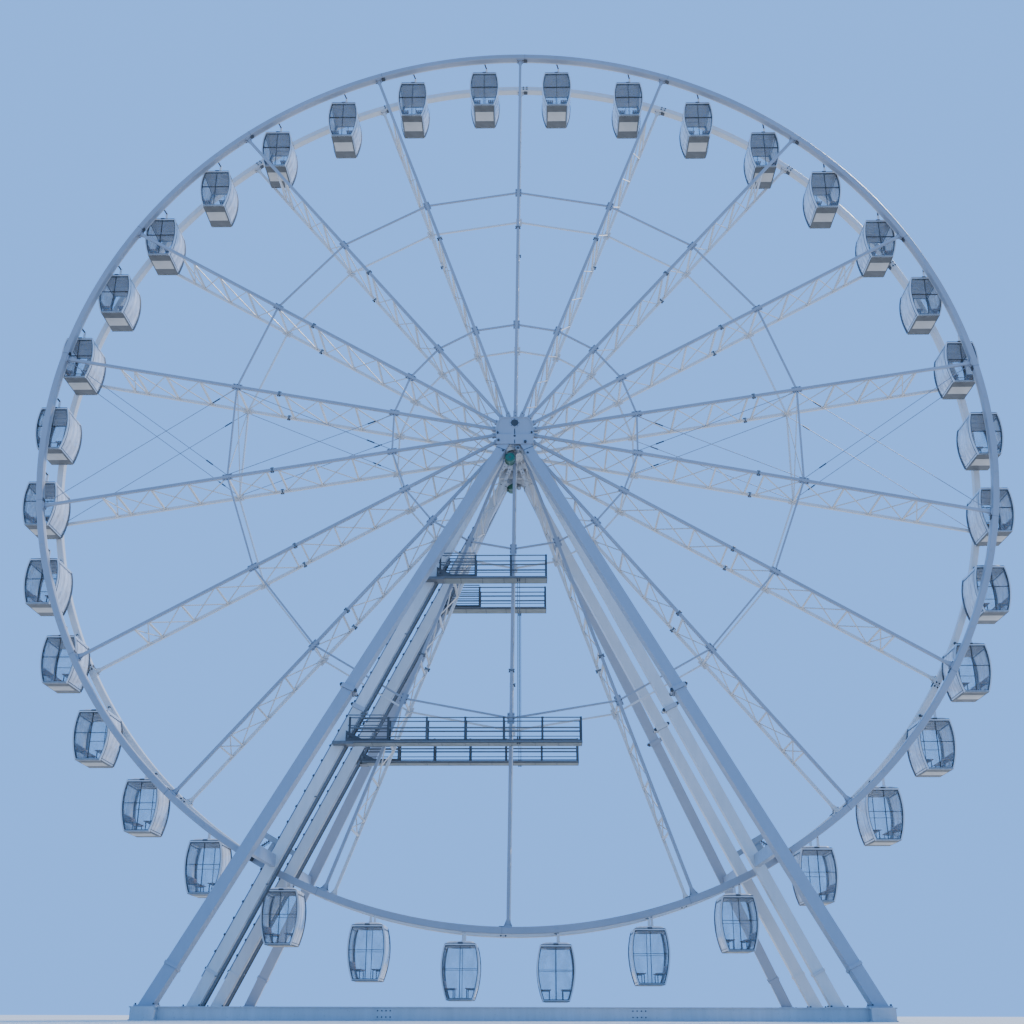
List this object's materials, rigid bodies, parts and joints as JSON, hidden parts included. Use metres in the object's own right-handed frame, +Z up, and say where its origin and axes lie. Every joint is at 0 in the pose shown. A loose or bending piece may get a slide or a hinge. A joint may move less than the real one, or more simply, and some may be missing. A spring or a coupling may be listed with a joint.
{
  "type": "ferris wheel, 1:2 scale model",
  "caption": "Fairground ferris wheel at half scale: two rims on lattice spokes, level closed cabins, splayed legs on a base frame.",
  "frame": {"origin": "on the ground, under the middle of the hub", "axes": "+Z up, the wheel turns about Y, the front faces -Y and +X is to the right seen from the front"},
  "size_m": [25.2896, 9.7, 26.4318],
  "materials": {
    "wheel_paint": "satin white paint",
    "tower_paint": "satin white paint",
    "base_paint": "semi-matte grey paint",
    "galvanised_steel": "dull galvanised",
    "drive_steel": "semi-matte grey paint",
    "cabin_paint": "gloss white paint",
    "cabin_glass": "clear glazing",
    "dark_trim": "matte dark frames",
    "floor_panel": "matte cream paint",
    "bench_wood": "oiled hardwood slats",
    "tyre_rubber": "matte",
    "motor_green": "gloss green paint",
    "bolt_steel": "dark zinc",
    "cable_steel": "bare wire rope"
  },
  "bodies": {
    "support": {"base_frame": "base_paint", "tower_head_front": "tower_paint", "tower_head_rear": "tower_paint", "walkways_front": "galvanised_steel", "walkways_rear": "galvanised_steel", "legs_front_left": "tower_paint", "legs_front_right": "tower_paint", "legs_rear_left": "tower_paint", "legs_rear_right": "tower_paint", "drive_front_left": "drive_steel", "drive_front_right": "drive_steel", "drive_rear_left": "drive_steel", "drive_rear_right": "drive_steel"},
    "wheel": {"rim_front": "wheel_paint", "rim_rear": "wheel_paint", "wheel_hub": "wheel_paint", "wheel_sector_1": "wheel_paint", "wheel_sector_2": "wheel_paint", "wheel_sector_3": "wheel_paint", "wheel_sector_4": "wheel_paint", "wheel_sector_5": "wheel_paint", "wheel_sector_6": "wheel_paint"},
    "cabin_01_body": {"cabin_01": "cabin_paint"},
    "cabin_02_body": {"cabin_02": "cabin_paint"},
    "cabin_03_body": {"cabin_03": "cabin_paint"},
    "cabin_04_body": {"cabin_04": "cabin_paint"},
    "cabin_05_body": {"cabin_05": "cabin_paint"},
    "cabin_06_body": {"cabin_06": "cabin_paint"},
    "cabin_07_body": {"cabin_07": "cabin_paint"},
    "cabin_08_body": {"cabin_08": "cabin_paint"},
    "cabin_09_body": {"cabin_09": "cabin_paint"},
    "cabin_10_body": {"cabin_10": "cabin_paint"},
    "cabin_11_body": {"cabin_11": "cabin_paint"},
    "cabin_12_body": {"cabin_12": "cabin_paint"},
    "cabin_13_body": {"cabin_13": "cabin_paint"},
    "cabin_14_body": {"cabin_14": "cabin_paint"},
    "cabin_15_body": {"cabin_15": "cabin_paint"},
    "cabin_16_body": {"cabin_16": "cabin_paint"},
    "cabin_17_body": {"cabin_17": "cabin_paint"},
    "cabin_18_body": {"cabin_18": "cabin_paint"},
    "cabin_19_body": {"cabin_19": "cabin_paint"},
    "cabin_20_body": {"cabin_20": "cabin_paint"},
    "cabin_21_body": {"cabin_21": "cabin_paint"},
    "cabin_22_body": {"cabin_22": "cabin_paint"},
    "cabin_23_body": {"cabin_23": "cabin_paint"},
    "cabin_24_body": {"cabin_24": "cabin_paint"},
    "cabin_25_body": {"cabin_25": "cabin_paint"},
    "cabin_26_body": {"cabin_26": "cabin_paint"},
    "cabin_27_body": {"cabin_27": "cabin_paint"},
    "cabin_28_body": {"cabin_28": "cabin_paint"},
    "cabin_29_body": {"cabin_29": "cabin_paint"},
    "cabin_30_body": {"cabin_30": "cabin_paint"},
    "cabin_31_body": {"cabin_31": "cabin_paint"},
    "cabin_32_body": {"cabin_32": "cabin_paint"},
    "cabin_33_body": {"cabin_33": "cabin_paint"},
    "cabin_34_body": {"cabin_34": "cabin_paint"},
    "cabin_35_body": {"cabin_35": "cabin_paint"},
    "cabin_36_body": {"cabin_36": "cabin_paint"}
  },
  "joints": [
    {"name": "wheel_spin", "type": "hinge", "parent": "support", "child": "wheel", "pos_m": [0, 0, 14.1], "axis": [0, 1, 0], "continuous": true},
    {"name": "cabin_01_level", "type": "hinge", "parent": "wheel", "child": "cabin_01_body", "pos_m": [1.21454, 0, 26.28964], "axis": [0, 1, 0], "continuous": true},
    {"name": "cabin_02_level", "type": "hinge", "parent": "wheel", "child": "cabin_02_body", "pos_m": [3.3128, 0, 25.89355], "axis": [0, 1, 0], "continuous": true},
    {"name": "cabin_03_level", "type": "hinge", "parent": "wheel", "child": "cabin_03_body", "pos_m": [5.3104, 0, 25.13912], "axis": [0, 1, 0], "continuous": true},
    {"name": "cabin_04_level", "type": "hinge", "parent": "wheel", "child": "cabin_04_body", "pos_m": [7.14664, 0, 24.04927], "axis": [0, 1, 0], "continuous": true},
    {"name": "cabin_05_level", "type": "hinge", "parent": "wheel", "child": "cabin_05_body", "pos_m": [8.76574, 0, 22.65712], "axis": [0, 1, 0], "continuous": true},
    {"name": "cabin_06_level", "type": "hinge", "parent": "wheel", "child": "cabin_06_body", "pos_m": [10.1185, 0, 21.00496], "axis": [0, 1, 0], "continuous": true},
    {"name": "cabin_07_level", "type": "hinge", "parent": "wheel", "child": "cabin_07_body", "pos_m": [11.16381, 0, 19.143], "axis": [0, 1, 0], "continuous": true},
    {"name": "cabin_08_level", "type": "hinge", "parent": "wheel", "child": "cabin_08_body", "pos_m": [11.86991, 0, 17.12781], "axis": [0, 1, 0], "continuous": true},
    {"name": "cabin_09_level", "type": "hinge", "parent": "wheel", "child": "cabin_09_body", "pos_m": [12.21536, 0, 15.02062], "axis": [0, 1, 0], "continuous": true},
    {"name": "cabin_10_level", "type": "hinge", "parent": "wheel", "child": "cabin_10_body", "pos_m": [12.18964, 0, 12.88546], "axis": [0, 1, 0], "continuous": true},
    {"name": "cabin_11_level", "type": "hinge", "parent": "wheel", "child": "cabin_11_body", "pos_m": [11.79355, 0, 10.7872], "axis": [0, 1, 0], "continuous": true},
    {"name": "cabin_12_level", "type": "hinge", "parent": "wheel", "child": "cabin_12_body", "pos_m": [11.03912, 0, 8.7896], "axis": [0, 1, 0], "continuous": true},
    {"name": "cabin_13_level", "type": "hinge", "parent": "wheel", "child": "cabin_13_body", "pos_m": [9.94927, 0, 6.95336], "axis": [0, 1, 0], "continuous": true},
    {"name": "cabin_14_level", "type": "hinge", "parent": "wheel", "child": "cabin_14_body", "pos_m": [8.55712, 0, 5.33426], "axis": [0, 1, 0], "continuous": true},
    {"name": "cabin_15_level", "type": "hinge", "parent": "wheel", "child": "cabin_15_body", "pos_m": [6.90496, 0, 3.9815], "axis": [0, 1, 0], "continuous": true},
    {"name": "cabin_16_level", "type": "hinge", "parent": "wheel", "child": "cabin_16_body", "pos_m": [5.043, 0, 2.93619], "axis": [0, 1, 0], "continuous": true},
    {"name": "cabin_17_level", "type": "hinge", "parent": "wheel", "child": "cabin_17_body", "pos_m": [3.02781, 0, 2.23009], "axis": [0, 1, 0], "continuous": true},
    {"name": "cabin_18_level", "type": "hinge", "parent": "wheel", "child": "cabin_18_body", "pos_m": [0.92062, 0, 1.88464], "axis": [0, 1, 0], "continuous": true},
    {"name": "cabin_19_level", "type": "hinge", "parent": "wheel", "child": "cabin_19_body", "pos_m": [-1.21454, 0, 1.91036], "axis": [0, 1, 0], "continuous": true},
    {"name": "cabin_20_level", "type": "hinge", "parent": "wheel", "child": "cabin_20_body", "pos_m": [-3.3128, 0, 2.30645], "axis": [0, 1, 0], "continuous": true},
    {"name": "cabin_21_level", "type": "hinge", "parent": "wheel", "child": "cabin_21_body", "pos_m": [-5.3104, 0, 3.06088], "axis": [0, 1, 0], "continuous": true},
    {"name": "cabin_22_level", "type": "hinge", "parent": "wheel", "child": "cabin_22_body", "pos_m": [-7.14664, 0, 4.15073], "axis": [0, 1, 0], "continuous": true},
    {"name": "cabin_23_level", "type": "hinge", "parent": "wheel", "child": "cabin_23_body", "pos_m": [-8.76574, 0, 5.54288], "axis": [0, 1, 0], "continuous": true},
    {"name": "cabin_24_level", "type": "hinge", "parent": "wheel", "child": "cabin_24_body", "pos_m": [-10.1185, 0, 7.19504], "axis": [0, 1, 0], "continuous": true},
    {"name": "cabin_25_level", "type": "hinge", "parent": "wheel", "child": "cabin_25_body", "pos_m": [-11.16381, 0, 9.057], "axis": [0, 1, 0], "continuous": true},
    {"name": "cabin_26_level", "type": "hinge", "parent": "wheel", "child": "cabin_26_body", "pos_m": [-11.86991, 0, 11.07219], "axis": [0, 1, 0], "continuous": true},
    {"name": "cabin_27_level", "type": "hinge", "parent": "wheel", "child": "cabin_27_body", "pos_m": [-12.21536, 0, 13.17938], "axis": [0, 1, 0], "continuous": true},
    {"name": "cabin_28_level", "type": "hinge", "parent": "wheel", "child": "cabin_28_body", "pos_m": [-12.18964, 0, 15.31454], "axis": [0, 1, 0], "continuous": true},
    {"name": "cabin_29_level", "type": "hinge", "parent": "wheel", "child": "cabin_29_body", "pos_m": [-11.79355, 0, 17.4128], "axis": [0, 1, 0], "continuous": true},
    {"name": "cabin_30_level", "type": "hinge", "parent": "wheel", "child": "cabin_30_body", "pos_m": [-11.03912, 0, 19.4104], "axis": [0, 1, 0], "continuous": true},
    {"name": "cabin_31_level", "type": "hinge", "parent": "wheel", "child": "cabin_31_body", "pos_m": [-9.94927, 0, 21.24664], "axis": [0, 1, 0], "continuous": true},
    {"name": "cabin_32_level", "type": "hinge", "parent": "wheel", "child": "cabin_32_body", "pos_m": [-8.55712, 0, 22.86574], "axis": [0, 1, 0], "continuous": true},
    {"name": "cabin_33_level", "type": "hinge", "parent": "wheel", "child": "cabin_33_body", "pos_m": [-6.90496, 0, 24.2185], "axis": [0, 1, 0], "continuous": true},
    {"name": "cabin_34_level", "type": "hinge", "parent": "wheel", "child": "cabin_34_body", "pos_m": [-5.043, 0, 25.26381], "axis": [0, 1, 0], "continuous": true},
    {"name": "cabin_35_level", "type": "hinge", "parent": "wheel", "child": "cabin_35_body", "pos_m": [-3.02781, 0, 25.96991], "axis": [0, 1, 0], "continuous": true},
    {"name": "cabin_36_level", "type": "hinge", "parent": "wheel", "child": "cabin_36_body", "pos_m": [-0.92062, 0, 26.31536], "axis": [0, 1, 0], "continuous": true}
  ],
  "couplings": [
    {"joint": "cabin_01_level", "follows": "wheel_spin", "ratio": -1},
    {"joint": "cabin_02_level", "follows": "wheel_spin", "ratio": -1},
    {"joint": "cabin_03_level", "follows": "wheel_spin", "ratio": -1},
    {"joint": "cabin_04_level", "follows": "wheel_spin", "ratio": -1},
    {"joint": "cabin_05_level", "follows": "wheel_spin", "ratio": -1},
    {"joint": "cabin_06_level", "follows": "wheel_spin", "ratio": -1},
    {"joint": "cabin_07_level", "follows": "wheel_spin", "ratio": -1},
    {"joint": "cabin_08_level", "follows": "wheel_spin", "ratio": -1},
    {"joint": "cabin_09_level", "follows": "wheel_spin", "ratio": -1},
    {"joint": "cabin_10_level", "follows": "wheel_spin", "ratio": -1},
    {"joint": "cabin_11_level", "follows": "wheel_spin", "ratio": -1},
    {"joint": "cabin_12_level", "follows": "wheel_spin", "ratio": -1},
    {"joint": "cabin_13_level", "follows": "wheel_spin", "ratio": -1},
    {"joint": "cabin_14_level", "follows": "wheel_spin", "ratio": -1},
    {"joint": "cabin_15_level", "follows": "wheel_spin", "ratio": -1},
    {"joint": "cabin_16_level", "follows": "wheel_spin", "ratio": -1},
    {"joint": "cabin_17_level", "follows": "wheel_spin", "ratio": -1},
    {"joint": "cabin_18_level", "follows": "wheel_spin", "ratio": -1},
    {"joint": "cabin_19_level", "follows": "wheel_spin", "ratio": -1},
    {"joint": "cabin_20_level", "follows": "wheel_spin", "ratio": -1},
    {"joint": "cabin_21_level", "follows": "wheel_spin", "ratio": -1},
    {"joint": "cabin_22_level", "follows": "wheel_spin", "ratio": -1},
    {"joint": "cabin_23_level", "follows": "wheel_spin", "ratio": -1},
    {"joint": "cabin_24_level", "follows": "wheel_spin", "ratio": -1},
    {"joint": "cabin_25_level", "follows": "wheel_spin", "ratio": -1},
    {"joint": "cabin_26_level", "follows": "wheel_spin", "ratio": -1},
    {"joint": "cabin_27_level", "follows": "wheel_spin", "ratio": -1},
    {"joint": "cabin_28_level", "follows": "wheel_spin", "ratio": -1},
    {"joint": "cabin_29_level", "follows": "wheel_spin", "ratio": -1},
    {"joint": "cabin_30_level", "follows": "wheel_spin", "ratio": -1},
    {"joint": "cabin_31_level", "follows": "wheel_spin", "ratio": -1},
    {"joint": "cabin_32_level", "follows": "wheel_spin", "ratio": -1},
    {"joint": "cabin_33_level", "follows": "wheel_spin", "ratio": -1},
    {"joint": "cabin_34_level", "follows": "wheel_spin", "ratio": -1},
    {"joint": "cabin_35_level", "follows": "wheel_spin", "ratio": -1},
    {"joint": "cabin_36_level", "follows": "wheel_spin", "ratio": -1}
  ]
}
